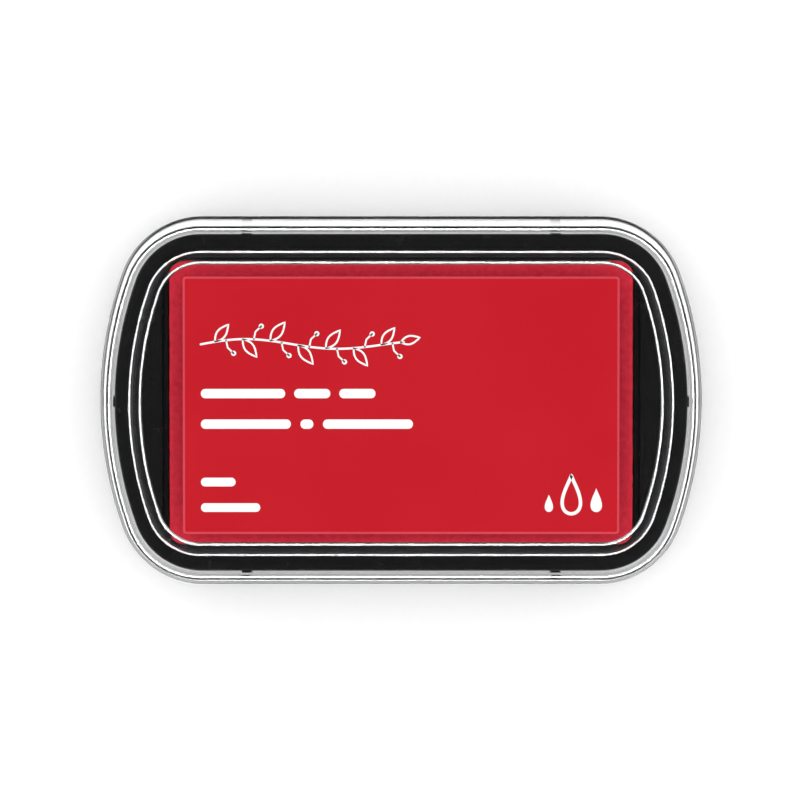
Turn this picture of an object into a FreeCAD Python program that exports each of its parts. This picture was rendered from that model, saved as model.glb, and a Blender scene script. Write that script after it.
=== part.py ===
import FreeCAD, Part
import math
import os

# Stamping ink pad with a clear lift-off lid, modelled closed. Millimetres, +Z up.
# The origin is the middle of the footprint, on the surface that the pad stands on.
# +X runs along the length, and -Y is the front long side, where the label reads upright.

# Driving dimensions of the case
CASE_LENGTH = 98.0
CASE_WIDTH = 60.0
CASE_CORNER = 14.0        # radius of the case's four corners in plan
STRAIGHT_HALF = 32.2      # half of the straight stretch of each long side
WALL = 1.0                # wall of the lid
BASE_WALL = 1.4           # wall of the base

# Heights above the standing surface
DECK_Z = 12.6             # top of the base's deck
SKIRT_Z = 4.0             # lower edge of the lid's skirt
BAND_Z = 17.6             # top of the lid's outer band
PANEL_Z = 19.0            # top of the lid's raised panel
WELL_FLOOR_Z = 6.4        # inside floor of the well in the base

# Raised panel of the lid, measured at the foot of its slope
PANEL_HALF_LENGTH = 43.6
PANEL_HALF_WIDTH = 24.3
PANEL_CORNER = 8.75
PANEL_SLOPE_RUN = 1.6     # how far the slope runs inwards while it climbs to the panel

# The skirt leans inwards above a bead along its lower edge
BAND_INSET = 1.55         # in plan, from the bead's outside to the foot of the shoulder
WALL_FOOT_INSET = 0.5     # the same to the foot of the skirt's wall
WALL_FOOT_Z = 5.6
BEAD_TOP_Z = 5.2
SHOULDER_RADIUS = 0.8
CAVITY_RADIUS = 0.4       # inside corner between the skirt and the band
PANEL_EDGE_RADIUS = 0.9
BEAD_RADIUS = 0.4

# Base
BASE_INSET = 2.45         # in plan, from the bead's outside to the base's outside
BASE_DRAFT = 0.15
DECK_EDGE_RADIUS = 0.8
FOOT_EDGE_RADIUS = 0.3
RIB_THICKNESS = 1.0
RIB_SPACING = 12.0

# Foam pad and what lies under it
PAD_LENGTH = 74.7
PAD_WIDTH = 45.2
PAD_CORNER = 2.6
PAD_EDGE_RADIUS = 0.7
PAD_TOP_Z = 15.6
FELT_THICKNESS = 3.0
ADHESIVE_THICKNESS = 0.15
CARRIER_FLOOR = 1.0
CARRIER_LIP = 0.8
CARRIER_LIP_TOP_Z = 12.0
END_GAP = 1.2             # from the foam to the well's wall at each end
SIDE_GAP = 0.5            # from the foam to the well's wall at each long side
SMALL_GAP = 0.15

# Upright lugs on the base's wall, and the grooves inside the skirt that they stand in
LUG_WIDTH = 1.6
LUG_SPACING_HALF = 25.0   # lugs on the long sides stand this far from the middle
LUG_TOP_Z = 11.6
LUG_HEIGHT = 7.2
GROOVE_SKIN = 0.5         # wall left outside a groove
GROOVE_GAP = 0.15         # room beside and outside a lug in its groove

# Labels
LABEL_LENGTH = 70.0
LABEL_WIDTH = 41.3
LABEL_CORNER = 0.5
LABEL_SHIFT_Y = -0.25     # the label sits a little towards the front long side
LABEL_THICKNESS = 0.12
BASE_LABEL_LENGTH = 66.0
BASE_LABEL_WIDTH = 36.0
BASE_LABEL_CORNER = 2.0

# Sizes that follow from the ones above
WELL_LENGTH = PAD_LENGTH + 2 * END_GAP
WELL_WIDTH = PAD_WIDTH + 2 * SIDE_GAP
WELL_CORNER = PAD_CORNER + SIDE_GAP
WELL_UNDERSIDE_Z = WELL_FLOOR_Z - BASE_WALL
CARRIER_TOP_Z = WELL_FLOOR_Z + CARRIER_FLOOR
FELT_Z = CARRIER_TOP_Z + ADHESIVE_THICKNESS
FOAM_Z = FELT_Z + FELT_THICKNESS
SLOPE_ANGLE = math.atan2(PANEL_Z - BAND_Z, PANEL_SLOPE_RUN)
OVERRUN = 1.0             # how far a cutting tool reaches past the face it opens
FLAT = 1e-4               # closeness that counts as the same height or place


def bowed_wire(half_length, half_width, corner, z):
    """Plan outline with straight long sides, round corners and gently bowed ends."""
    rise = half_width - corner
    reach = half_length - STRAIGHT_HALF
    bow = (reach ** 2 + rise ** 2 - corner ** 2) / (2 * (reach - corner))
    bow_centre = half_length - bow
    turn = math.atan2(rise, STRAIGHT_HALF - bow_centre)
    meet_x = bow_centre + bow * math.cos(turn)
    meet_y = bow * math.sin(turn)
    middle = (turn + math.pi / 2) / 2
    corner_x = STRAIGHT_HALF + corner * math.cos(middle)
    corner_y = rise + corner * math.sin(middle)

    def at(x, y):
        return FreeCAD.Vector(x, y, z)

    def arc(start, through, end):
        return Part.Arc(at(*start), at(*through), at(*end)).toShape()

    def line(start, end):
        return Part.LineSegment(at(*start), at(*end)).toShape()

    side_x, side_y = STRAIGHT_HALF, half_width
    return Part.Wire([
        arc((meet_x, -meet_y), (half_length, 0), (meet_x, meet_y)),
        arc((meet_x, meet_y), (corner_x, corner_y), (side_x, side_y)),
        line((side_x, side_y), (-side_x, side_y)),
        arc((-side_x, side_y), (-corner_x, corner_y), (-meet_x, meet_y)),
        arc((-meet_x, meet_y), (-half_length, 0), (-meet_x, -meet_y)),
        arc((-meet_x, -meet_y), (-corner_x, -corner_y), (-side_x, -side_y)),
        line((-side_x, -side_y), (side_x, -side_y)),
        arc((side_x, -side_y), (corner_x, -corner_y), (meet_x, -meet_y)),
    ])


def case_wire(inset, z):
    """Outline of the closed case, moved inwards by an even inset."""
    return bowed_wire(CASE_LENGTH / 2 - inset, CASE_WIDTH / 2 - inset, CASE_CORNER - inset, z)


def panel_wire(inset, z):
    """Outline of the lid's raised panel, moved inwards from the foot of its slope."""
    return bowed_wire(
        PANEL_HALF_LENGTH - inset, PANEL_HALF_WIDTH - inset, PANEL_CORNER - inset, z)


def between(lower_wire, upper_wire):
    """Solid with straight sides from one outline up to the other."""
    return Part.makeLoft([lower_wire, upper_wire], True, True)


def rounded_plate(length, width, corner, z_low, z_high):
    """Upright prism on a rounded rectangle about the origin."""
    plate = Part.makeBox(
        length, width, z_high - z_low, FreeCAD.Vector(-length / 2, -width / 2, z_low))
    upright = [edge for edge in plate.Edges if is_upright(edge)]
    return plate.makeFillet(corner, upright)


def is_upright(edge):
    box = edge.BoundBox
    return box.ZLength > max(box.XLength, box.YLength) * 10


def edges_at(shape, z):
    """Edges that lie flat at a height."""
    return [edge for edge in shape.Edges
            if abs(edge.BoundBox.ZMin - z) < FLAT and abs(edge.BoundBox.ZMax - z) < FLAT]


def inside_panel(edge):
    """Whether an edge stays within the box round the raised panel's foot."""
    box = edge.BoundBox
    return box.XMax < PANEL_HALF_LENGTH + FLAT and box.XMin > -PANEL_HALF_LENGTH - FLAT and (
        box.YMax < PANEL_HALF_WIDTH + FLAT and box.YMin > -PANEL_HALF_WIDTH - FLAT)


def skirt_inset(z):
    """How far the outside of the skirt's wall has leaned inwards at a height."""
    lean = (BAND_INSET - WALL_FOOT_INSET) / (BAND_Z - WALL_FOOT_Z)
    return WALL_FOOT_INSET + lean * (z - WALL_FOOT_Z)


def bead():
    """Filled plate whose rim is the rounded bead along the skirt's lower edge."""
    rim = between(case_wire(0, SKIRT_Z), case_wire(0, BEAD_TOP_Z))
    cone = between(case_wire(0, BEAD_TOP_Z), case_wire(WALL_FOOT_INSET, WALL_FOOT_Z))
    plate = rim.fuse(cone).removeSplitter()
    return plate.makeFillet(BEAD_RADIUS, edges_at(plate, BEAD_TOP_Z) + edges_at(plate, SKIRT_Z))


def lid_hull():
    """The outside of the lid as one filled solid."""
    skirt = between(
        case_wire(skirt_inset(SKIRT_Z), SKIRT_Z), case_wire(BAND_INSET, BAND_Z))
    skirt = skirt.makeFillet(SHOULDER_RADIUS, edges_at(skirt, BAND_Z))
    panel = between(panel_wire(0, BAND_Z), panel_wire(PANEL_SLOPE_RUN, PANEL_Z))
    hull = skirt.fuse(panel).removeSplitter()
    hull = hull.makeFillet(PANEL_EDGE_RADIUS, edges_at(hull, PANEL_Z))
    foot = [edge for edge in edges_at(hull, BAND_Z) if inside_panel(edge)]
    return hull.makeFillet(PANEL_EDGE_RADIUS, foot).fuse(bead()).removeSplitter()


def lid_cavity():
    """The space inside the lid, which keeps about one wall thickness everywhere."""
    band_ceiling = BAND_Z - WALL
    panel_ceiling = PANEL_Z - WALL
    setback = WALL * math.tan(SLOPE_ANGLE / 2)
    mouth_inset = WALL + skirt_inset(SKIRT_Z)
    room = between(
        case_wire(mouth_inset, SKIRT_Z), case_wire(WALL + skirt_inset(band_ceiling), band_ceiling))
    room = room.makeFillet(CAVITY_RADIUS, edges_at(room, band_ceiling))
    mouth = room.fuse(
        between(case_wire(mouth_inset, SKIRT_Z - OVERRUN), case_wire(mouth_inset, SKIRT_Z)))
    dome = between(panel_wire(setback, band_ceiling),
                   panel_wire(PANEL_SLOPE_RUN + setback, panel_ceiling))
    return mouth.fuse(dome).removeSplitter()


def lug_frames():
    """Where the six lugs stand: (middle x, middle y, outward x, outward y)."""
    side = CASE_WIDTH / 2
    end = CASE_LENGTH / 2
    frames = [(end, 0, 1, 0), (-end, 0, -1, 0)]
    for x in (-LUG_SPACING_HALF, LUG_SPACING_HALF):
        frames.append((x, side, 0, 1))
        frames.append((x, -side, 0, -1))
    return frames


def leaning_block(frame, width, skin, z_low, z_high):
    """Block from inside the base's wall out to an even depth below the skirt's outside."""
    x, y, out_x, out_y = frame
    foot = FreeCAD.Vector(x, y, 0)
    outwards = FreeCAD.Vector(out_x, out_y, 0)
    across = FreeCAD.Vector(-out_y, out_x, 0) * (width / 2)
    root = outwards * (BASE_INSET + BASE_DRAFT + BASE_WALL / 2)
    rings = []
    for z in (z_low, z_high):
        height = FreeCAD.Vector(0, 0, z)
        tip = outwards * (skirt_inset(z) + skin)
        corners = [foot - tip - across, foot - tip + across, foot - root + across,
                   foot - root - across]
        corners = [corner + height for corner in corners]
        rings.append(Part.makePolygon(corners + corners[:1]))
    return between(*rings)


def lug(frame):
    return leaning_block(
        frame, LUG_WIDTH, GROOVE_SKIN + GROOVE_GAP, LUG_TOP_Z - LUG_HEIGHT, LUG_TOP_Z)


def groove(frame):
    """Groove that is open below, and whose closed top rests on its lug."""
    return leaning_block(
        frame, LUG_WIDTH + 2 * GROOVE_GAP, GROOVE_SKIN, SKIRT_Z - OVERRUN, LUG_TOP_Z)


def lid_shell():
    """Clear lid that stands on the six lugs by the tops of its grooves."""
    shell = lid_hull().cut(lid_cavity())
    for frame in lug_frames():
        shell = shell.cut(groove(frame))
    return shell


def well_block():
    """The well with its walls, hanging below the deck."""
    return rounded_plate(
        WELL_LENGTH + 2 * BASE_WALL, WELL_WIDTH + 2 * BASE_WALL, WELL_CORNER + BASE_WALL,
        WELL_UNDERSIDE_Z, DECK_Z)


def end_ribs(room):
    """Stiffening ribs under the deck, between the well and the bowed ends."""
    ribs = []
    for y in (-RIB_SPACING, 0, RIB_SPACING):
        low = FreeCAD.Vector(-CASE_LENGTH / 2, y - RIB_THICKNESS / 2, WELL_UNDERSIDE_Z)
        strip = Part.makeBox(CASE_LENGTH, RIB_THICKNESS, DECK_Z - WELL_UNDERSIDE_Z, low)
        ribs.append(strip.common(room))
    return ribs


def base_shell():
    """Black base, open below so that another pad's raised panel nests in it."""
    hull = between(case_wire(BASE_INSET, 0), case_wire(BASE_INSET + BASE_DRAFT, DECK_Z))
    hull = hull.makeFillet(DECK_EDGE_RADIUS, edges_at(hull, DECK_Z))
    hull = hull.makeFillet(FOOT_EDGE_RADIUS, edges_at(hull, 0))
    inner = BASE_INSET + BASE_WALL
    under = between(case_wire(inner, -OVERRUN), case_wire(inner + BASE_DRAFT, DECK_Z - BASE_WALL))
    room = under.cut(well_block())
    well = rounded_plate(WELL_LENGTH, WELL_WIDTH, WELL_CORNER, WELL_FLOOR_Z, DECK_Z + OVERRUN)
    shell = hull.cut(room).cut(well)
    for rib in end_ribs(room):
        shell = shell.fuse(rib)
    for frame in lug_frames():
        shell = shell.fuse(lug(frame))
    return shell.removeSplitter()


def pad_carrier():
    """Plate in the well, with a lip at each end that holds the foam."""
    length = WELL_LENGTH - 2 * SMALL_GAP
    width = WELL_WIDTH - 2 * SMALL_GAP
    blank = rounded_plate(
        length, width, WELL_CORNER - SMALL_GAP, WELL_FLOOR_Z, CARRIER_LIP_TOP_Z)
    space = Part.makeBox(
        length - 2 * CARRIER_LIP, CASE_WIDTH, DECK_Z,
        FreeCAD.Vector(CARRIER_LIP - length / 2, -CASE_WIDTH / 2, CARRIER_TOP_Z))
    return blank.cut(space)


def felt_adhesive():
    return rounded_plate(PAD_LENGTH, PAD_WIDTH, PAD_CORNER, CARRIER_TOP_Z, FELT_Z)


def reservoir_felt():
    return rounded_plate(PAD_LENGTH, PAD_WIDTH, PAD_CORNER, FELT_Z, FOAM_Z)


def foam_pad():
    block = rounded_plate(PAD_LENGTH, PAD_WIDTH, PAD_CORNER, FOAM_Z, PAD_TOP_Z)
    return block.makeFillet(PAD_EDGE_RADIUS, edges_at(block, PAD_TOP_Z))


def lid_label():
    label = rounded_plate(
        LABEL_LENGTH, LABEL_WIDTH, LABEL_CORNER, PANEL_Z, PANEL_Z + LABEL_THICKNESS)
    label.translate(FreeCAD.Vector(0, LABEL_SHIFT_Y, 0))
    return label


def base_label():
    return rounded_plate(
        BASE_LABEL_LENGTH, BASE_LABEL_WIDTH, BASE_LABEL_CORNER,
        WELL_UNDERSIDE_Z - LABEL_THICKNESS, WELL_UNDERSIDE_Z)


SUB_PARTS = {
    "lid_shell": lid_shell,
    "lid_label": lid_label,
    "base_shell": base_shell,
    "pad_carrier": pad_carrier,
    "felt_adhesive": felt_adhesive,
    "reservoir_felt": reservoir_felt,
    "foam_pad": foam_pad,
    "base_label": base_label,
}

os.makedirs("parts", exist_ok=True)
for name, make in SUB_PARTS.items():
    shape = make()
    if not shape.isValid() or len(shape.Solids) != 1:
        raise RuntimeError(f"{name} is not one valid solid")
    shape.Solids[0].exportStep(f"parts/{name}.step")
    print(f"{name}: {shape.Volume / 1000:.3f} cm3")
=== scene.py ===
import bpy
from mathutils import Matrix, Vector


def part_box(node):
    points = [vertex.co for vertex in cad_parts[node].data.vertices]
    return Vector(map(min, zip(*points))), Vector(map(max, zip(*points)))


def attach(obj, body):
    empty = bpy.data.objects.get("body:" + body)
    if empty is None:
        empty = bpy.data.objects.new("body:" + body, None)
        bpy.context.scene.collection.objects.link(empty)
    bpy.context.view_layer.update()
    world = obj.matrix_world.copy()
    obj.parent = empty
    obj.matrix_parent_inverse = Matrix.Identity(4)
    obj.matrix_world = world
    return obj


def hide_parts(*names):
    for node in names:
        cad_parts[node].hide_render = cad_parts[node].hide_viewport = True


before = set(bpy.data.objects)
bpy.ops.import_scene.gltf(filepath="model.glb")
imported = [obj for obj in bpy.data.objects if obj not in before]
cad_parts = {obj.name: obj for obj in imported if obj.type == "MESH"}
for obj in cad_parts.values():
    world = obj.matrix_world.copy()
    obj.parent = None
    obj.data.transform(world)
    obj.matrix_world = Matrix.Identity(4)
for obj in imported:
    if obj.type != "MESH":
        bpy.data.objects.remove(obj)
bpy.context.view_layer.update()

import math

import bmesh
import bpy
from mathutils import Vector, noise

# Ink pad, closed under its clear lid. Metres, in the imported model's frame.
# -Y is the front long side. The camera looks down on the lid from almost straight above.
MM = 0.001

LID_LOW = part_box("lid_shell")[0]
LABEL_LOW, LABEL_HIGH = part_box("lid_label")
PAD_LOW, PAD_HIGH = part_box("foam_pad")
FELT_LOW, FELT_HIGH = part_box("reservoir_felt")
BASE_LABEL_LOW, BASE_LABEL_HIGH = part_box("base_label")


# ---------------------------------------------------------------- helpers

def new_object(name, mesh):
    piece = bpy.data.objects.new(name, mesh)
    bpy.context.scene.collection.objects.link(piece)
    return piece


def mesh_from(bm, name, smooth=False):
    """Turns a bmesh into a linked object and frees it."""
    bmesh.ops.recalc_face_normals(bm, faces=bm.faces)
    mesh = bpy.data.meshes.new(name)
    bm.to_mesh(mesh)
    bm.free()
    for face in mesh.polygons:
        face.use_smooth = smooth
    return new_object(name, mesh)


def prism(bm, outline, z_low, z_high):
    """Closed flat plate on a plan outline, a list of (x, y) points."""
    low = [bm.verts.new((x, y, z_low)) for x, y in outline]
    high = [bm.verts.new((x, y, z_high)) for x, y in outline]
    bm.faces.new(high)
    bm.faces.new(reversed(low))
    for i in range(len(outline)):
        j = (i + 1) % len(outline)
        bm.faces.new((low[i], low[j], high[j], high[i]))


def rounded_outline(centre, length, width, corner, steps=8):
    """Rounded rectangle as plan points, anticlockwise."""
    points = []
    spots = ((1, 1, 0), (-1, 1, 90), (-1, -1, 180), (1, -1, 270))
    for sign_x, sign_y, start in spots:
        middle_x = centre[0] + sign_x * (length / 2 - corner)
        middle_y = centre[1] + sign_y * (width / 2 - corner)
        for k in range(steps + 1):
            turn = math.radians(start + 90 * k / steps)
            points.append((middle_x + corner * math.cos(turn), middle_y + corner * math.sin(turn)))
    return points


def finish_piece(piece, body, material, replaced=None):
    """Gives a new piece its material and its body, and hides the CAD node it stands for."""
    piece.data.materials.clear()
    piece.data.materials.append(material)
    if replaced:
        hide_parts(replaced)
    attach(piece, body)
    return piece


# ---------------------------------------------------------------- materials

class Nodes:
    """A short way to write a node tree: make(type, settings, inputs) and link by socket."""

    def __init__(self, material):
        material.use_nodes = True
        self.tree = material.node_tree
        self.shader = self.tree.nodes["Principled BSDF"]
        self.position = self.make("ShaderNodeTexCoord").outputs["Object"]

    def make(self, kind, settings=None, **inputs):
        node = self.tree.nodes.new(kind)
        for key, value in (settings or {}).items():
            setattr(node, key, value)
        for key, value in inputs.items():
            self.set(node, key.replace("_", " "), value)
        return node

    def set(self, node, socket, value):
        target = node.inputs[socket]
        if isinstance(value, bpy.types.NodeSocket):
            self.tree.links.new(value, target)
        else:
            target.default_value = value

    def noise(self, scale, detail=2.0, roughness=0.5, distortion=0.0):
        """Noise in the object's own space; scale is in features per metre."""
        node = self.make("ShaderNodeTexNoise", Vector=self.position, Scale=scale, Detail=detail,
                         Roughness=roughness, Distortion=distortion)
        return node.outputs["Fac"]

    def cells(self, scale):
        """Distance to the middle of the nearest of many random cells."""
        node = self.make("ShaderNodeTexVoronoi", {"feature": "F1"},
                         Vector=self.position, Scale=scale)
        return node.outputs["Distance"]

    def span(self, value, from_low, from_high, to_low, to_high):
        """Maps a value from one range onto another, and holds it there past the ends."""
        node = self.make("ShaderNodeMapRange", Value=value)
        for k, number in enumerate((from_low, from_high, to_low, to_high)):
            node.inputs[k + 1].default_value = number
        return node.outputs["Result"]

    def blend(self, factor, first, second):
        """Colour between two colours."""
        node = self.make("ShaderNodeMix", {"data_type": "RGBA"})
        self.set(node, 0, factor)
        self.set(node, 6, (*first, 1.0) if isinstance(first, tuple) else first)
        self.set(node, 7, (*second, 1.0) if isinstance(second, tuple) else second)
        return node.outputs[2]

    def sum(self, first, second, share):
        """first plus share times second."""
        node = self.make("ShaderNodeMath", {"operation": "MULTIPLY_ADD"})
        self.set(node, 0, second)
        self.set(node, 1, share)
        self.set(node, 2, first)
        return node.outputs[0]

    def bump(self, height, distance, strength):
        node = self.make("ShaderNodeBump", Height=height, Distance=distance, Strength=strength)
        self.set(self.shader, "Normal", node.outputs["Normal"])

    def finish(self, **inputs):
        for key, value in inputs.items():
            self.set(self.shader, key.replace("_", " "), value)


def new_material(name):
    material = bpy.data.materials.new(name)
    return material, Nodes(material)


def clear_plastic():
    """Polished clear polystyrene with faint haze, smears and a slow mould waviness.
    Light that falls straight through it isn't blocked, so what lies inside is well lit."""
    material, n = new_material("clear_polystyrene")
    smear = n.noise(90.0, detail=3.0, roughness=0.6, distortion=0.4)
    dust = n.noise(1400.0, detail=2.0, roughness=0.5)
    haze = n.sum(n.span(smear, 0.45, 0.75, 0.006, 0.03), n.span(dust, 0.6, 0.8, 0.0, 1.0), 0.015)
    n.bump(n.noise(30.0, detail=1.0, roughness=0.4), 0.00002, 0.03)
    n.finish(Base_Color=n.blend(smear, (0.975, 0.985, 0.988), (0.988, 0.994, 0.996)),
             Roughness=haze, IOR=1.59, Transmission_Weight=1.0)
    clear = n.make("ShaderNodeBsdfTransparent", Color=(0.97, 0.975, 0.98, 1.0))
    shadow = n.make("ShaderNodeLightPath").outputs["Is Shadow Ray"]
    mix = n.make("ShaderNodeMixShader")
    n.set(mix, 0, shadow)
    n.set(mix, 1, n.shader.outputs[0])
    n.set(mix, 2, clear.outputs[0])
    n.set(n.tree.nodes["Material Output"], "Surface", mix.outputs[0])
    return material


def black_plastic():
    """Glossy black moulded plastic with a fine orange-peel skin and handling marks."""
    material, n = new_material("black_polystyrene")
    marks = n.noise(240.0, detail=4.0, roughness=0.65, distortion=0.6)
    fine = n.noise(2600.0, detail=2.0, roughness=0.5)
    coarse = n.noise(420.0, detail=1.0, roughness=0.5)
    skin = n.sum(fine, coarse, 0.6)
    n.bump(skin, 0.000012, 0.35)
    n.finish(Base_Color=n.blend(marks, (0.0042, 0.0042, 0.0044), (0.0085, 0.0085, 0.0088)),
             Roughness=n.span(marks, 0.3, 0.75, 0.16, 0.30), IOR=1.5,
             Specular_IOR_Level=0.4)
    return material


def inked_foam():
    """Fine open-cell foam soaked with thick ink: mottled, cellular, slightly wet."""
    material, n = new_material("inked_foam")
    mottle = n.noise(900.0, detail=4.0, roughness=0.65)
    patch = n.noise(120.0, detail=3.0, roughness=0.55)
    cell = n.cells(3300.0)
    tone = n.sum(n.span(mottle, 0.3, 0.7, 0.0, 0.7), patch, 0.4)
    height = n.sum(n.span(cell, 0.0, 0.6, 0.0, 1.0), mottle, 0.8)
    n.bump(height, 0.00006, 0.6)
    n.finish(Base_Color=n.blend(tone, (0.56, 0.017, 0.034), (0.78, 0.034, 0.064)),
             Roughness=n.span(mottle, 0.3, 0.7, 0.48, 0.72), IOR=1.4,
             Specular_IOR_Level=0.06)
    return material


def inked_felt():
    """Dense felt reserve, darker than the foam, with matted fibres."""
    material, n = new_material("inked_felt")
    fibre = n.noise(1500.0, detail=6.0, roughness=0.75, distortion=1.5)
    n.bump(fibre, 0.0001, 0.8)
    n.finish(Base_Color=n.blend(fibre, (0.14, 0.004, 0.008), (0.30, 0.010, 0.02)),
             Roughness=n.span(fibre, 0.3, 0.7, 0.75, 0.95))
    return material


def printed_ink(name, dark, light, roughness=(0.10, 0.14)):
    """Flexo-printed solid on film: nearly flat, with a faint screen and gloss variation."""
    material, n = new_material(name)
    screen = n.noise(2200.0, detail=2.0, roughness=0.5)
    drift = n.noise(45.0, detail=2.0, roughness=0.5)
    n.bump(screen, 0.000004, 0.3)
    n.finish(Base_Color=n.blend(n.sum(n.span(drift, 0.3, 0.7, 0.2, 0.6), screen, 0.4), dark, light),
             Roughness=n.span(drift, 0.3, 0.7, *roughness), IOR=1.5,
             Specular_IOR_Level=0.3)
    return material


def adhesive():
    """Acrylic transfer adhesive: amber, tacky, with trapped air specks."""
    material, n = new_material("transfer_adhesive")
    specks = n.cells(900.0)
    cloud = n.noise(160.0, detail=3.0, roughness=0.6)
    n.bump(cloud, 0.00002, 0.4)
    n.finish(Base_Color=n.blend(cloud, (0.66, 0.60, 0.44), (0.80, 0.77, 0.66)),
             Roughness=n.span(specks, 0.0, 0.5, 0.18, 0.42))
    return material


def label_paper():
    """Coated label paper with faint fibre and handling shade."""
    material, n = new_material("label_paper")
    fibre = n.noise(1900.0, detail=5.0, roughness=0.7, distortion=0.8)
    shade = n.noise(60.0, detail=3.0, roughness=0.55)
    n.bump(fibre, 0.000012, 0.4)
    n.finish(Base_Color=n.blend(n.sum(n.span(shade, 0.3, 0.7, 0.0, 0.5), fibre, 0.5),
                                (0.74, 0.73, 0.71), (0.86, 0.855, 0.84)),
             Roughness=n.span(fibre, 0.3, 0.7, 0.5, 0.66))
    return material


# ---------------------------------------------------------------- camera, light and floor

FRAME_WIDTH = 130.5 * MM    # what the picture's width covers at the foot of the lid
LENS = 240.0
SENSOR = 36.0
TILT = math.radians(2.35)   # the camera stands a little towards the rear long side
AIM_X = -0.18 * MM          # and aims a little to the left of the middle


def make_camera():
    """Camera far above the lid, aimed at the height of the lid's foot."""
    data = bpy.data.cameras.new("camera")
    data.lens = LENS
    data.sensor_width = SENSOR
    camera = bpy.data.objects.new("camera", data)
    bpy.context.scene.collection.objects.link(camera)
    distance = FRAME_WIDTH / 2 / (SENSOR / 2 / LENS)
    target = Vector((AIM_X, 0, LID_LOW.z))
    camera.location = target + Vector((0, math.sin(TILT), math.cos(TILT))) * distance
    camera.rotation_euler = (-TILT, 0, 0)
    bpy.context.scene.camera = camera


# Stops are (sine of the elevation, share of full strength).
# The ring spans 30 to 73 degrees above the horizon.
TENT_STOPS = ((0.0, 0.75), (0.3, 0.9), (1.0, 1.0))
TENT_STRENGTH = 1.35
STUDIO_STOPS = ((0.0, 1.0), (0.35, 0.7), (0.85, 0.3), (1.0, 0.25))
STUDIO_STRENGTH = 0.08
RING_STOPS = ((0.50, 0.0), (0.56, 1.0), (0.93, 1.0), (0.955, 0.0))
RING_STRENGTH = 21.0
HALF_BOUNCE = 0.5           # splits a count of bounces into none and at least one


def make_world():
    """Soft white tent. A mirror reflection sees a dark studio instead, with a bright ring
    high round the table, which draws a thin line along each rounded edge. The two are told
    apart by the kind of ray, which no real studio can do. A ray that has been through clear
    plastic doesn't see the ring."""
    world = bpy.data.worlds.new("studio")
    bpy.context.scene.world = world
    world.use_nodes = True
    tree = world.node_tree
    background = tree.nodes["Background"]
    direction = tree.nodes.new("ShaderNodeTexCoord").outputs["Generated"]
    split = tree.nodes.new("ShaderNodeSeparateXYZ")
    tree.links.new(direction, split.inputs[0])

    def ramp(stops):
        node = tree.nodes.new("ShaderNodeValToRGB")
        node.color_ramp.interpolation = "EASE"
        elements = node.color_ramp.elements
        while len(elements) < len(stops):
            elements.new(0.5)
        for element, (place, value) in zip(elements, stops):
            element.position = place
            element.color = (value, value, value, 1)
        tree.links.new(split.outputs["Z"], node.inputs[0])
        return node.outputs[0]

    def calc(operation, *values):
        node = tree.nodes.new("ShaderNodeMath")
        node.operation = operation
        for k, value in enumerate(values):
            if isinstance(value, bpy.types.NodeSocket):
                tree.links.new(value, node.inputs[k])
            else:
                node.inputs[k].default_value = value
        return node.outputs[0]

    path = tree.nodes.new("ShaderNodeLightPath").outputs
    undiffused = calc("LESS_THAN", path["Diffuse Depth"], HALF_BOUNCE)
    glossy = calc("GREATER_THAN", path["Glossy Depth"], HALF_BOUNCE)
    mirrored = calc("MULTIPLY", glossy, undiffused)
    unbent = calc("LESS_THAN", path["Transmission Depth"], HALF_BOUNCE)
    outside = calc("MULTIPLY", mirrored, unbent)
    tent = calc("MULTIPLY", calc("MULTIPLY", ramp(TENT_STOPS), TENT_STRENGTH),
                calc("SUBTRACT", 1.0, mirrored))
    studio = calc("MULTIPLY", calc("MULTIPLY", ramp(STUDIO_STOPS), STUDIO_STRENGTH), mirrored)
    ring = calc("MULTIPLY", calc("MULTIPLY", ramp(RING_STOPS), RING_STRENGTH), outside)
    tree.links.new(calc("ADD", tent, calc("ADD", studio, ring)), background.inputs["Strength"])
    background.inputs["Color"].default_value = (1, 1, 1, 1)


FLOOR_SIZE = 1.6


def make_floor():
    """Plain pale floor with a faint grain."""
    bm = bmesh.new()
    bmesh.ops.create_grid(bm, x_segments=8, y_segments=8, size=FLOOR_SIZE / 2)
    floor = mesh_from(bm, "floor")
    material, n = new_material("pale_floor")
    grain = n.noise(700.0, detail=3.0, roughness=0.6)
    n.finish(Base_Color=n.blend(grain, (0.93, 0.93, 0.93), (0.96, 0.96, 0.96)), Roughness=0.9,
             Specular_IOR_Level=0.1)
    floor.data.materials.append(material)


# ---------------------------------------------------------------- clear lid

CASE = (49.0 * MM, 30.0 * MM, 14.0 * MM)        # half length, half width and corner radius
PANEL = (43.6 * MM, 24.3 * MM, 8.75 * MM)       # the same at the foot of the raised panel
STRAIGHT_HALF = 32.2 * MM                       # half of the straight stretch of a long side
WALL = 1.0 * MM
SKIRT_Z, BAND_Z, PANEL_Z = 4.0 * MM, 17.6 * MM, 19.0 * MM
BEAD_TOP_Z, WALL_FOOT_Z = 5.2 * MM, 5.6 * MM    # rounded bead along the skirt's lower edge
WALL_FOOT_INSET = 0.5 * MM
BAND_INSET = 1.55 * MM
SLOPE_RUN = 1.6 * MM
SHOULDER_RADIUS = 0.8 * MM
CAVITY_RADIUS = 0.4 * MM
PANEL_RADIUS = 0.9 * MM
BEAD_RADIUS = 0.4 * MM
CREASE_RADIUS = 0.12 * MM
# Insets of the rings that lie on flat faces, between one rounded corner and the next
TOP_RING = 3.2 * MM         # on top of the panel, in from its foot
BAND_RING = 1.0 * MM        # on the band, out from the panel's foot and in from the shoulder
CEILING_RING = 1.2 * MM     # under the band, in from the skirt's inner face
DOME_FOOT_RING = 0.5 * MM   # under the band, out from the hollow of the panel
DOME_TOP_RING = 4.0 * MM    # under the panel, in from its foot


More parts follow.
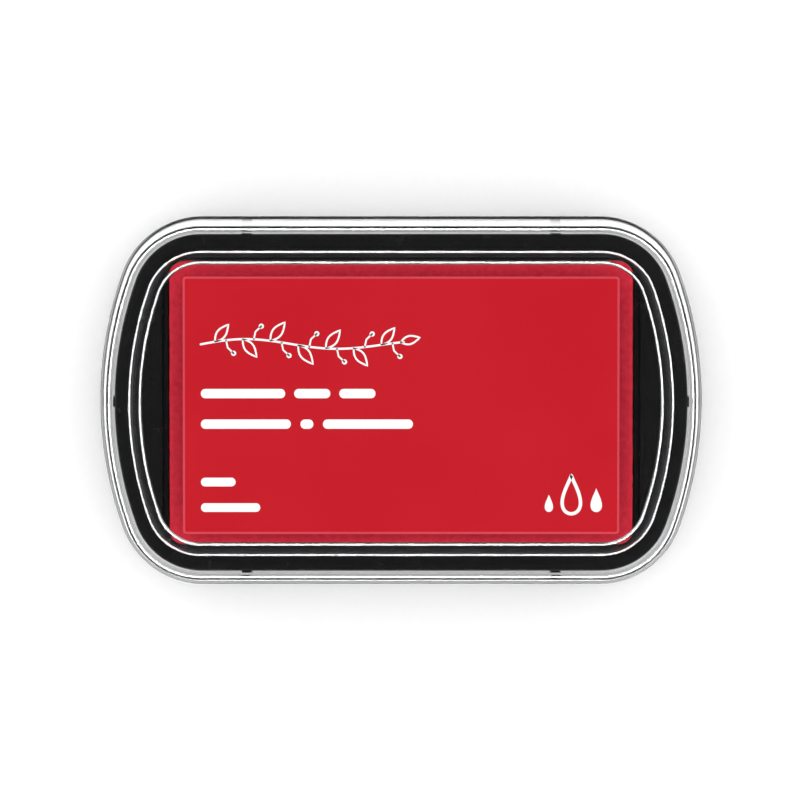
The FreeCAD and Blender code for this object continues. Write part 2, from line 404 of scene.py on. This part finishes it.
def bowed_outline(shape, inset, end_steps=26, corner_steps=34, side_steps=16):
    """Plan points, anticlockwise from +X: bowed ends, round corners and straight sides."""
    half_length, half_width, corner = (value - inset for value in shape)
    rise = half_width - corner
    reach = half_length - STRAIGHT_HALF
    bow = (reach ** 2 + rise ** 2 - corner ** 2) / (2 * (reach - corner))
    bow_centre = half_length - bow
    turn = math.atan2(rise, STRAIGHT_HALF - bow_centre)
    quarter = []
    for k in range(end_steps):
        angle = turn * k / end_steps
        quarter.append((bow_centre + bow * math.cos(angle), bow * math.sin(angle)))
    for k in range(corner_steps):
        angle = turn + (math.pi / 2 - turn) * k / corner_steps
        quarter.append((STRAIGHT_HALF + corner * math.cos(angle), rise + corner * math.sin(angle)))
    for k in range(side_steps):
        quarter.append((STRAIGHT_HALF * (1 - k / side_steps), half_width))
    mirrored = [(-x, y) for x, y in reversed(quarter[1:])]
    upper = quarter + [(0.0, half_width)] + mirrored
    lower = [(-x, -y) for x, y in upper]
    return upper + lower


def rounded_path(corners, steps=9):
    """Profile points through corners given as (inset, z, radius), with each corner rounded."""
    points = [Vector(corners[0][:2])]
    for before, here, after in zip(corners, corners[1:], corners[2:]):
        middle = Vector(here[:2])
        to_before = (Vector(before[:2]) - middle).normalized()
        to_after = (Vector(after[:2]) - middle).normalized()
        half = to_before.angle(to_after) / 2
        centre = middle + (to_before + to_after).normalized() * here[2] / math.sin(half)
        first = middle + to_before * here[2] / math.tan(half) - centre
        last = middle + to_after * here[2] / math.tan(half) - centre
        for k in range(steps + 1):
            points.append(centre + first.slerp(last, k / steps) * here[2])
    points.append(Vector(corners[-1][:2]))
    return points


def skirt_inset(z):
    """How far the outside of the skirt has leaned inwards at a height."""
    lean = (BAND_INSET - WALL_FOOT_INSET) / (BAND_Z - WALL_FOOT_Z)
    return WALL_FOOT_INSET + lean * (z - WALL_FOOT_Z)


def make_lid():
    """The clear lid as one closed shell: panel, slope, band, skirt and bead."""
    ceiling_z = BAND_Z - WALL
    dome_z = PANEL_Z - WALL
    setback = WALL * math.tan(math.atan2(PANEL_Z - BAND_Z, SLOPE_RUN) / 2)
    inner_foot = skirt_inset(SKIRT_Z) + WALL
    inner_top = skirt_inset(ceiling_z) + WALL
    panel = rounded_path([
        (TOP_RING, PANEL_Z, 0), (SLOPE_RUN, PANEL_Z, PANEL_RADIUS),
        (0, BAND_Z, PANEL_RADIUS), (-BAND_RING, BAND_Z, 0)])
    skirt = rounded_path([
        (BAND_INSET + BAND_RING, BAND_Z, 0), (BAND_INSET, BAND_Z, SHOULDER_RADIUS),
        (WALL_FOOT_INSET, WALL_FOOT_Z, CREASE_RADIUS), (0, BEAD_TOP_Z, BEAD_RADIUS),
        (0, SKIRT_Z, BEAD_RADIUS), (inner_foot, SKIRT_Z, CREASE_RADIUS),
        (inner_top, ceiling_z, CAVITY_RADIUS), (inner_top + CEILING_RING, ceiling_z, 0)])
    dome = rounded_path([
        (setback - DOME_FOOT_RING, ceiling_z, 0), (setback, ceiling_z, CREASE_RADIUS),
        (SLOPE_RUN + setback, dome_z, CREASE_RADIUS), (DOME_TOP_RING, dome_z, 0)])
    bm = bmesh.new()
    rings = []
    for shape, path in ((PANEL, panel), (CASE, skirt), (PANEL, dome)):
        for inset, z in path:
            rings.append([bm.verts.new((x, y, z)) for x, y in bowed_outline(shape, inset)])
    for first, second in zip(rings, rings[1:]):
        for k in range(len(first)):
            m = (k + 1) % len(first)
            bm.faces.new((first[k], first[m], second[m], second[k]))
    bm.faces.new(rings[0])
    bm.faces.new(rings[-1])
    lid = mesh_from(bm, "clear_lid", smooth=True)
    finish_piece(lid, "lid", clear_plastic(), "lid_shell")


# ---------------------------------------------------------------- foam pad and felt

EDGE_STEPS = (0.0, 0.08, 0.2, 0.36, 0.56, 0.8, 1.1)     # grid across a rolled edge, in edges
SIDE_LEVELS = 9             # rows of faces up the cut side
WANDER_WAVES, SWELL_WAVES = 900, 70                     # features per metre
GRAIN_WAVES, BITE_WAVES = 1600, 1300
TOP_SLICE, BOTTOM_SLICE = 4.0, 9.0                      # where each pattern is cut from the noise
SWELL_SLICE, GRAIN_SLICE = 1.3, 7.1
RIM_START = 0.75            # share of the way out at which the outline begins to wander
PAD_CORNER = 2.6 * MM


def even_steps(low, high, edge_steps, spacing):
    """Coordinates from low to high: the given small steps at both ends, even steps between."""
    start, end = low + edge_steps[-1], high - edge_steps[-1]
    count = max(2, round((end - start) / spacing))
    inner = [start + (end - start) * k / count for k in range(1, count)]
    return [low + s for s in edge_steps] + inner + [high - s for s in reversed(edge_steps)]


def round_corner(x, y, half_x, half_y, corner):
    """Pulls a point of a rectangle's corner square onto a quarter disc."""
    over_x = (abs(x) - (half_x - corner)) / corner
    over_y = (abs(y) - (half_y - corner)) / corner
    if over_x <= 0 or over_y <= 0:
        return x, y
    disc_x = over_x * math.sqrt(1 - over_y * over_y / 2)
    disc_y = over_y * math.sqrt(1 - over_x * over_x / 2)
    return (math.copysign(half_x - corner + corner * disc_x, x),
            math.copysign(half_y - corner + corner * disc_y, y))


def soft_slab(name, low, high, corner, edge, spacing, roll, ragged):
    """Closed foam or felt slab: rolled top edge, faint dips on top and a ragged cut side.
    roll is how much the top dips and swells, and ragged how far the cut side wanders."""
    half_x, half_y = (high.x - low.x) / 2 - ragged, (high.y - low.y) / 2 - ragged
    steps = [edge * s for s in EDGE_STEPS]
    xs = even_steps(-half_x, half_x, steps, spacing)
    ys = even_steps(-half_y, half_y, steps, spacing)
    middle = (low + high) / 2
    bm = bmesh.new()

    def plan(x, y, piece_slice):
        px, py = round_corner(x, y, half_x, half_y, corner)
        spot = Vector((px * WANDER_WAVES, py * WANDER_WAVES, piece_slice))
        wander = noise.fractal(spot, 0.8, 2.2, 3) * ragged
        reach = math.hypot(px / half_x, py / half_y)
        share = min(1.0, max(0.0, (reach - RIM_START) / (1 - RIM_START)))
        direction = Vector((px / half_x, py / half_y)).normalized() if reach else Vector((0, 0))
        return px + direction.x * wander * share, py + direction.y * wander * share

    def depth_in(x, y):
        """How far a grid point lies inside the outline."""
        return min(half_x - abs(x), half_y - abs(y))

    def top_height(x, y, px, py):
        inside = min(edge, depth_in(x, y))
        drop = edge - math.sqrt(max(0.0, edge * edge - (edge - inside) ** 2))
        spot = Vector((px * SWELL_WAVES, py * SWELL_WAVES, SWELL_SLICE))
        swell = noise.fractal(spot, 0.9, 2.1, 3) * roll
        spot = Vector((px * GRAIN_WAVES, py * GRAIN_WAVES, GRAIN_SLICE))
        grain = noise.noise(spot) * roll * 0.5
        return high.z - roll - drop + swell + grain

    top, bottom = {}, {}
    for i, x in enumerate(xs):
        for j, y in enumerate(ys):
            px, py = plan(x, y, TOP_SLICE)
            top[i, j] = bm.verts.new((middle.x + px, middle.y + py, top_height(x, y, px, py)))
            px, py = plan(x, y, BOTTOM_SLICE)
            bottom[i, j] = bm.verts.new((middle.x + px, middle.y + py, low.z))
    last_i, last_j = len(xs) - 1, len(ys) - 1
    for i in range(last_i):
        for j in range(last_j):
            bm.faces.new((top[i, j], top[i + 1, j], top[i + 1, j + 1], top[i, j + 1]))
            bm.faces.new((bottom[i, j], bottom[i, j + 1], bottom[i + 1, j + 1], bottom[i + 1, j]))
    rim = ([(i, 0) for i in range(last_i)] + [(last_i, j) for j in range(last_j)]
           + [(i, last_j) for i in range(last_i, 0, -1)] + [(0, j) for j in range(last_j, 0, -1)])
    rows = [[bottom[k] for k in rim]]
    for level in range(1, SIDE_LEVELS):
        share = level / SIDE_LEVELS
        row = []
        for k in rim:
            point = bottom[k].co.lerp(top[k].co, share)
            out = Vector((point.x / half_x ** 2, point.y / half_y ** 2, 0)).normalized()
            bite = noise.fractal(point * BITE_WAVES, 0.7, 2.3, 3) * ragged * 0.5
            row.append(bm.verts.new(point + out * bite))
        rows.append(row)
    rows.append([top[k] for k in rim])
    for lower, upper in zip(rows, rows[1:]):
        for k in range(len(rim)):
            m = (k + 1) % len(rim)
            bm.faces.new((lower[k], lower[m], upper[m], upper[k]))
    return mesh_from(bm, name, smooth=True)


def make_pads():
    """The foam that is inked and the felt reserve under it."""
    foam = soft_slab("ink_foam", PAD_LOW, PAD_HIGH, corner=PAD_CORNER, edge=0.7 * MM,
                     spacing=0.42 * MM, roll=0.05 * MM, ragged=0.06 * MM)
    finish_piece(foam, "base", inked_foam(), "foam_pad")
    felt = soft_slab("ink_felt", FELT_LOW, FELT_HIGH, corner=PAD_CORNER, edge=0.25 * MM,
                     spacing=1.2 * MM, roll=0.04 * MM, ragged=0.15 * MM)
    finish_piece(felt, "base", inked_felt(), "reservoir_felt")


# ---------------------------------------------------------------- label print

FILM_LIFT = 0.01 * MM       # air between a sticker and what it sits on
PRINT_STEP = 0.02 * MM      # thickness of each print layer
RED_INK = ((0.44, 0.0085, 0.0165), (0.48, 0.0105, 0.0195))


def ribbon(centre_line, width):
    """Outline of a pen stroke with round ends along a list of plan points."""
    left, right = [], []
    for k, point in enumerate(centre_line):
        before = centre_line[max(0, k - 1)]
        after = centre_line[min(len(centre_line) - 1, k + 1)]
        along = Vector((after[0] - before[0], after[1] - before[1])).normalized()
        side = Vector((-along.y, along.x)) * width / 2
        left.append((point[0] + side.x, point[1] + side.y))
        right.append((point[0] - side.x, point[1] - side.y))
    return left + round_end(centre_line[-2], centre_line[-1], width) + right[::-1] + round_end(
        centre_line[1], centre_line[0], width)


def round_end(inner, tip, width, steps=6):
    """Half circle of points from the left side round to the right side of a stroke's tip."""
    heading = math.atan2(tip[1] - inner[1], tip[0] - inner[0])
    turns = [heading + math.pi / 2 - math.pi * k / steps for k in range(1, steps)]
    return [(tip[0] + width / 2 * math.cos(t), tip[1] + width / 2 * math.sin(t)) for t in turns]


def loop_outline(bm, points, width, z_low, z_high):
    """Closed pen line round a list of plan points, as one ring-shaped plate."""
    count = len(points)
    rings = []
    for side in (-0.5, 0.5):
        ring = []
        for k, point in enumerate(points):
            before, after = points[k - 1], points[(k + 1) % count]
            along = Vector((after[0] - before[0], after[1] - before[1])).normalized()
            ring.append((point[0] - along.y * width * side, point[1] + along.x * width * side))
        rings.append(ring)
    verts = [[bm.verts.new((x, y, z)) for x, y in ring] for ring in rings for z in (z_low, z_high)]
    inner_low, inner_high, outer_low, outer_high = verts
    for k in range(count):
        m = (k + 1) % count
        bm.faces.new((inner_high[k], inner_high[m], outer_high[m], outer_high[k]))
        bm.faces.new((inner_low[k], outer_low[k], outer_low[m], inner_low[m]))
        bm.faces.new((inner_low[k], inner_low[m], inner_high[m], inner_high[k]))
        bm.faces.new((outer_low[k], outer_high[k], outer_high[m], outer_low[m]))


def leaf_points(base, heading, length, fullness, steps=9):
    """Plan points round a leaf that grows from base along heading."""
    points = []
    for side in (1, -1):
        order = range(steps) if side == 1 else range(steps, 0, -1)
        for k in order:
            share = k / steps
            out = side * fullness * math.sin(math.pi * share) * (1 - 0.35 * share)
            along = length * share
            points.append((base[0] + along * math.cos(heading) - out * math.sin(heading),
                           base[1] + along * math.sin(heading) + out * math.cos(heading)))
    return points


SPRIG_LENGTH = 32.5 * MM
SPRIG_LINE = 0.34 * MM      # width of the stem's line
SPRIG_SWAY = 0.9 * MM
STEM_STEPS = 60
LEAVES = 7
LEAF_LENGTH, LEAF_FULLNESS = 3.9 * MM, 0.95 * MM
LEAF_TURN = math.radians(52)
LEAF_LINE = SPRIG_LINE * 0.85
TIP_LEAF_LENGTH, TIP_LEAF_FULLNESS = 3.2 * MM, 0.8 * MM
TIP_LEAF_TURN = math.radians(14)
BERRY_LINE = SPRIG_LINE * 0.8
BERRY_RADIUS = 0.42 * MM


def make_sprig(z_low, z_high, left, middle_y):
    """Line drawing of a leafy sprig: a swaying stem with leaves and berries by turns."""
    bm = bmesh.new()

    def stem(share):
        sway = SPRIG_SWAY * math.sin(share * 2.2 * math.pi) * (1 - 0.3 * share)
        return left + SPRIG_LENGTH * share, middle_y + sway

    line = [stem(k / STEM_STEPS) for k in range(STEM_STEPS + 1)]
    prism(bm, ribbon(line, SPRIG_LINE), z_low, z_high)
    for k in range(LEAVES):
        share = 0.07 + 0.82 * k / (LEAVES - 1)
        side = 1 if k % 2 == 0 else -1
        size = 1 - 0.25 * abs(share - 0.45)
        points = leaf_points(stem(share), side * LEAF_TURN, LEAF_LENGTH * size,
                             LEAF_FULLNESS * size)
        loop_outline(bm, points, LEAF_LINE, z_low, z_high)
        root = stem(share + 0.055)
        tip = (root[0] + 1.2 * MM, root[1] - side * 2.1 * MM)
        bend = (root[0] + 0.25 * MM, root[1] - side * 1.2 * MM)
        prism(bm, ribbon([root, bend, tip], BERRY_LINE), z_low, z_high)
        berry = [(tip[0] + BERRY_RADIUS * math.cos(math.radians(a)),
                  tip[1] + BERRY_RADIUS * math.sin(math.radians(a))) for a in range(0, 360, 24)]
        prism(bm, berry, z_low, z_high)
    last = leaf_points(stem(0.985), TIP_LEAF_TURN, TIP_LEAF_LENGTH, TIP_LEAF_FULLNESS)
    loop_outline(bm, last, LEAF_LINE, z_low, z_high)
    return mesh_from(bm, "label_sprig")


BAR_ROUNDING = 0.48         # corner radius of a bar, in bar heights
WORD_GAP = 0.75             # gap between two bars, in letters

# Rows of bars on the lid: letters in each word, then in millimetres the height above the
# label's middle, the width of a letter and the height of a bar
LID_BARS = (
    ((7, 3, 3), 1.9, 1.93, 1.5),
    ((7, 1, 7), -3.0, 2.06, 1.5),
    ((3,), -12.3, 1.85, 1.4),
    ((5,), -16.4, 1.90, 1.4),
)


def bar_row(bm, words, left, middle_y, letter, height, z_low, z_high):
    """One line of blank bars, a bar for each word, as long as its count of letters."""
    x = left
    for count in words:
        length = count * letter
        centre = (x + length / 2, middle_y)
        prism(bm, rounded_outline(centre, length, height, height * BAR_ROUNDING), z_low, z_high)
        x += length + letter * WORD_GAP


def make_bars(z_low, z_high, left, middle):
    """Blank bars in rows, like lines of words."""
    bm = bmesh.new()
    for words, offset, letter, height in LID_BARS:
        bar_row(bm, words, left, middle.y + offset * MM, letter * MM, height * MM, z_low, z_high)
    return mesh_from(bm, "label_bars")


DROP_HEIGHT, DROP_RADIUS = 6.2 * MM, 2.1 * MM
DROP_LINE = SPRIG_LINE * 1.6
DROP_STEPS = 40
# Small solid drops: place beside the large one in millimetres, and size against it
SMALL_DROPS = ((4.0, -0.9, 0.62), (-3.6, -1.4, 0.45))


def drop_points(x, y, size):
    """Plan points round a drop with its tip up, anticlockwise."""
    points = []
    for k in range(DROP_STEPS):
        turn = 2 * math.pi * k / DROP_STEPS
        pinch = (1 - math.cos(turn)) / 2
        across = size * DROP_RADIUS * math.sin(turn) * pinch ** 0.75
        along = size * (DROP_HEIGHT / 2) * math.cos(turn)
        points.append((x + across, y + along))
    return points[::-1]


def make_drop(z_low, z_high, centre):
    """Outline of an ink drop between two small solid drops."""
    bm = bmesh.new()
    loop_outline(bm, drop_points(centre[0], centre[1], 1.0), DROP_LINE, z_low, z_high)
    for across, along, size in SMALL_DROPS:
        points = drop_points(centre[0] + across * MM, centre[1] + along * MM, size)
        prism(bm, points, z_low, z_high)
    return mesh_from(bm, "label_drop")


LABEL_CORNER, BLOCK_CORNER = 0.5 * MM, 0.3 * MM
BLOCK_MARGIN = 0.35 * MM    # clear film round the red block
PRINT_MARGIN = 2.9 * MM     # from the label's left edge to the print
SPRIG_RISE = 9.8 * MM       # of the sprig above the label's middle
DROP_PLACE = (7.7 * MM, 14.3 * MM)      # in from the right edge and below the middle


def make_label():
    """Film sticker on the lid, its red block and its white print."""
    middle = (LABEL_LOW + LABEL_HIGH) / 2
    length, width = LABEL_HIGH.x - LABEL_LOW.x, LABEL_HIGH.y - LABEL_LOW.y
    film_top = LABEL_HIGH.z
    bm = bmesh.new()
    outline = rounded_outline(middle, length, width, LABEL_CORNER)
    prism(bm, outline, LABEL_LOW.z + FILM_LIFT, film_top)
    film = mesh_from(bm, "label_film")
    light = printed_ink("film_edge", (0.50, 0.045, 0.068), (0.60, 0.058, 0.084))
    finish_piece(film, "lid", light, "lid_label")

    bm = bmesh.new()
    outline = rounded_outline(middle, length - 2 * BLOCK_MARGIN, width - 2 * BLOCK_MARGIN,
                              BLOCK_CORNER)
    block_top = film_top + PRINT_STEP
    prism(bm, outline, film_top, block_top)
    block = mesh_from(bm, "label_block")
    finish_piece(block, "lid",
                 printed_ink("red_print", *RED_INK))

    white = printed_ink("white_print", (0.80, 0.80, 0.79), (0.88, 0.88, 0.87))
    print_top = block_top + PRINT_STEP
    left = LABEL_LOW.x + PRINT_MARGIN
    drop_centre = (LABEL_HIGH.x - DROP_PLACE[0], middle.y - DROP_PLACE[1])
    for piece in (make_sprig(block_top, print_top, left, middle.y + SPRIG_RISE),
                  make_bars(block_top, print_top, left, middle),
                  make_drop(block_top, print_top, drop_centre)):
        finish_piece(piece, "lid", white)


PAPER_CORNER, BORDER_CORNER = 2.0 * MM, 1.2 * MM
BORDER_MARGIN = 3 * MM      # off the length and the width, both sides together
BORDER_LINE = 0.3 * MM
UNDER_MARGIN = 4 * MM
UNDER_ROWS = ((6, 4, 8, 3), (3, 7, 5, 5), (8, 2, 6, 4), (5, 5, 3), (4, 9, 6), (7, 3, 5, 2))
UNDER_TOP, UNDER_PITCH = 11, 3.6        # first row above the middle and step, in millimetres
UNDER_LETTER, UNDER_BAR = 1.15 * MM, 0.9 * MM
SPOT_SIZE = 14 * MM
SPOT_PLACE = 13 * MM        # in from the right edge
SPOT_CORNER = 7 * MM - 1e-6             # a hair under half the size, so no side has no length


def make_base_label():
    """Blank sticker under the base, with a spot of the ink and blank print bars."""
    middle = (BASE_LABEL_LOW + BASE_LABEL_HIGH) / 2
    length = BASE_LABEL_HIGH.x - BASE_LABEL_LOW.x
    width = BASE_LABEL_HIGH.y - BASE_LABEL_LOW.y
    face_z = BASE_LABEL_LOW.z
    bm = bmesh.new()
    prism(bm, rounded_outline(middle, length, width, PAPER_CORNER), face_z,
          BASE_LABEL_HIGH.z - FILM_LIFT)
    paper = mesh_from(bm, "underside_paper")
    finish_piece(paper, "base", label_paper(), "base_label")

    grey = printed_ink("grey_print", (0.055, 0.055, 0.058), (0.075, 0.075, 0.078), (0.45, 0.6))
    bm = bmesh.new()
    left = BASE_LABEL_LOW.x + UNDER_MARGIN
    for k, words in enumerate(UNDER_ROWS):
        y = middle.y + (UNDER_TOP - UNDER_PITCH * k) * MM
        bar_row(bm, words, left, y, UNDER_LETTER, UNDER_BAR, face_z - PRINT_STEP, face_z)
    border = rounded_outline(middle, length - BORDER_MARGIN, width - BORDER_MARGIN, BORDER_CORNER)
    loop_outline(bm, border, BORDER_LINE, face_z - PRINT_STEP, face_z)
    bars = mesh_from(bm, "underside_print")
    finish_piece(bars, "base", grey)

    bm = bmesh.new()
    place = (BASE_LABEL_HIGH.x - SPOT_PLACE, middle.y)
    disc = rounded_outline(place, SPOT_SIZE, SPOT_SIZE, SPOT_CORNER)
    prism(bm, disc, face_z - PRINT_STEP, face_z)
    spot = mesh_from(bm, "underside_ink_spot")
    finish_piece(spot, "base",
                 printed_ink("ink_spot_print", *RED_INK))


# ---------------------------------------------------------------- making

make_camera()
make_world()
make_floor()

SKINS = {
    "base_shell": black_plastic(),
    "felt_adhesive": adhesive(),
}
SKINS["pad_carrier"] = SKINS["base_shell"]
for node_name, skin in SKINS.items():
    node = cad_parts[node_name]
    node.data.materials.clear()
    node.data.materials.append(skin)

make_lid()
make_pads()
make_label()
make_base_label()

settings = bpy.context.scene.view_settings
settings.view_transform = "Standard"
settings.look = "None"
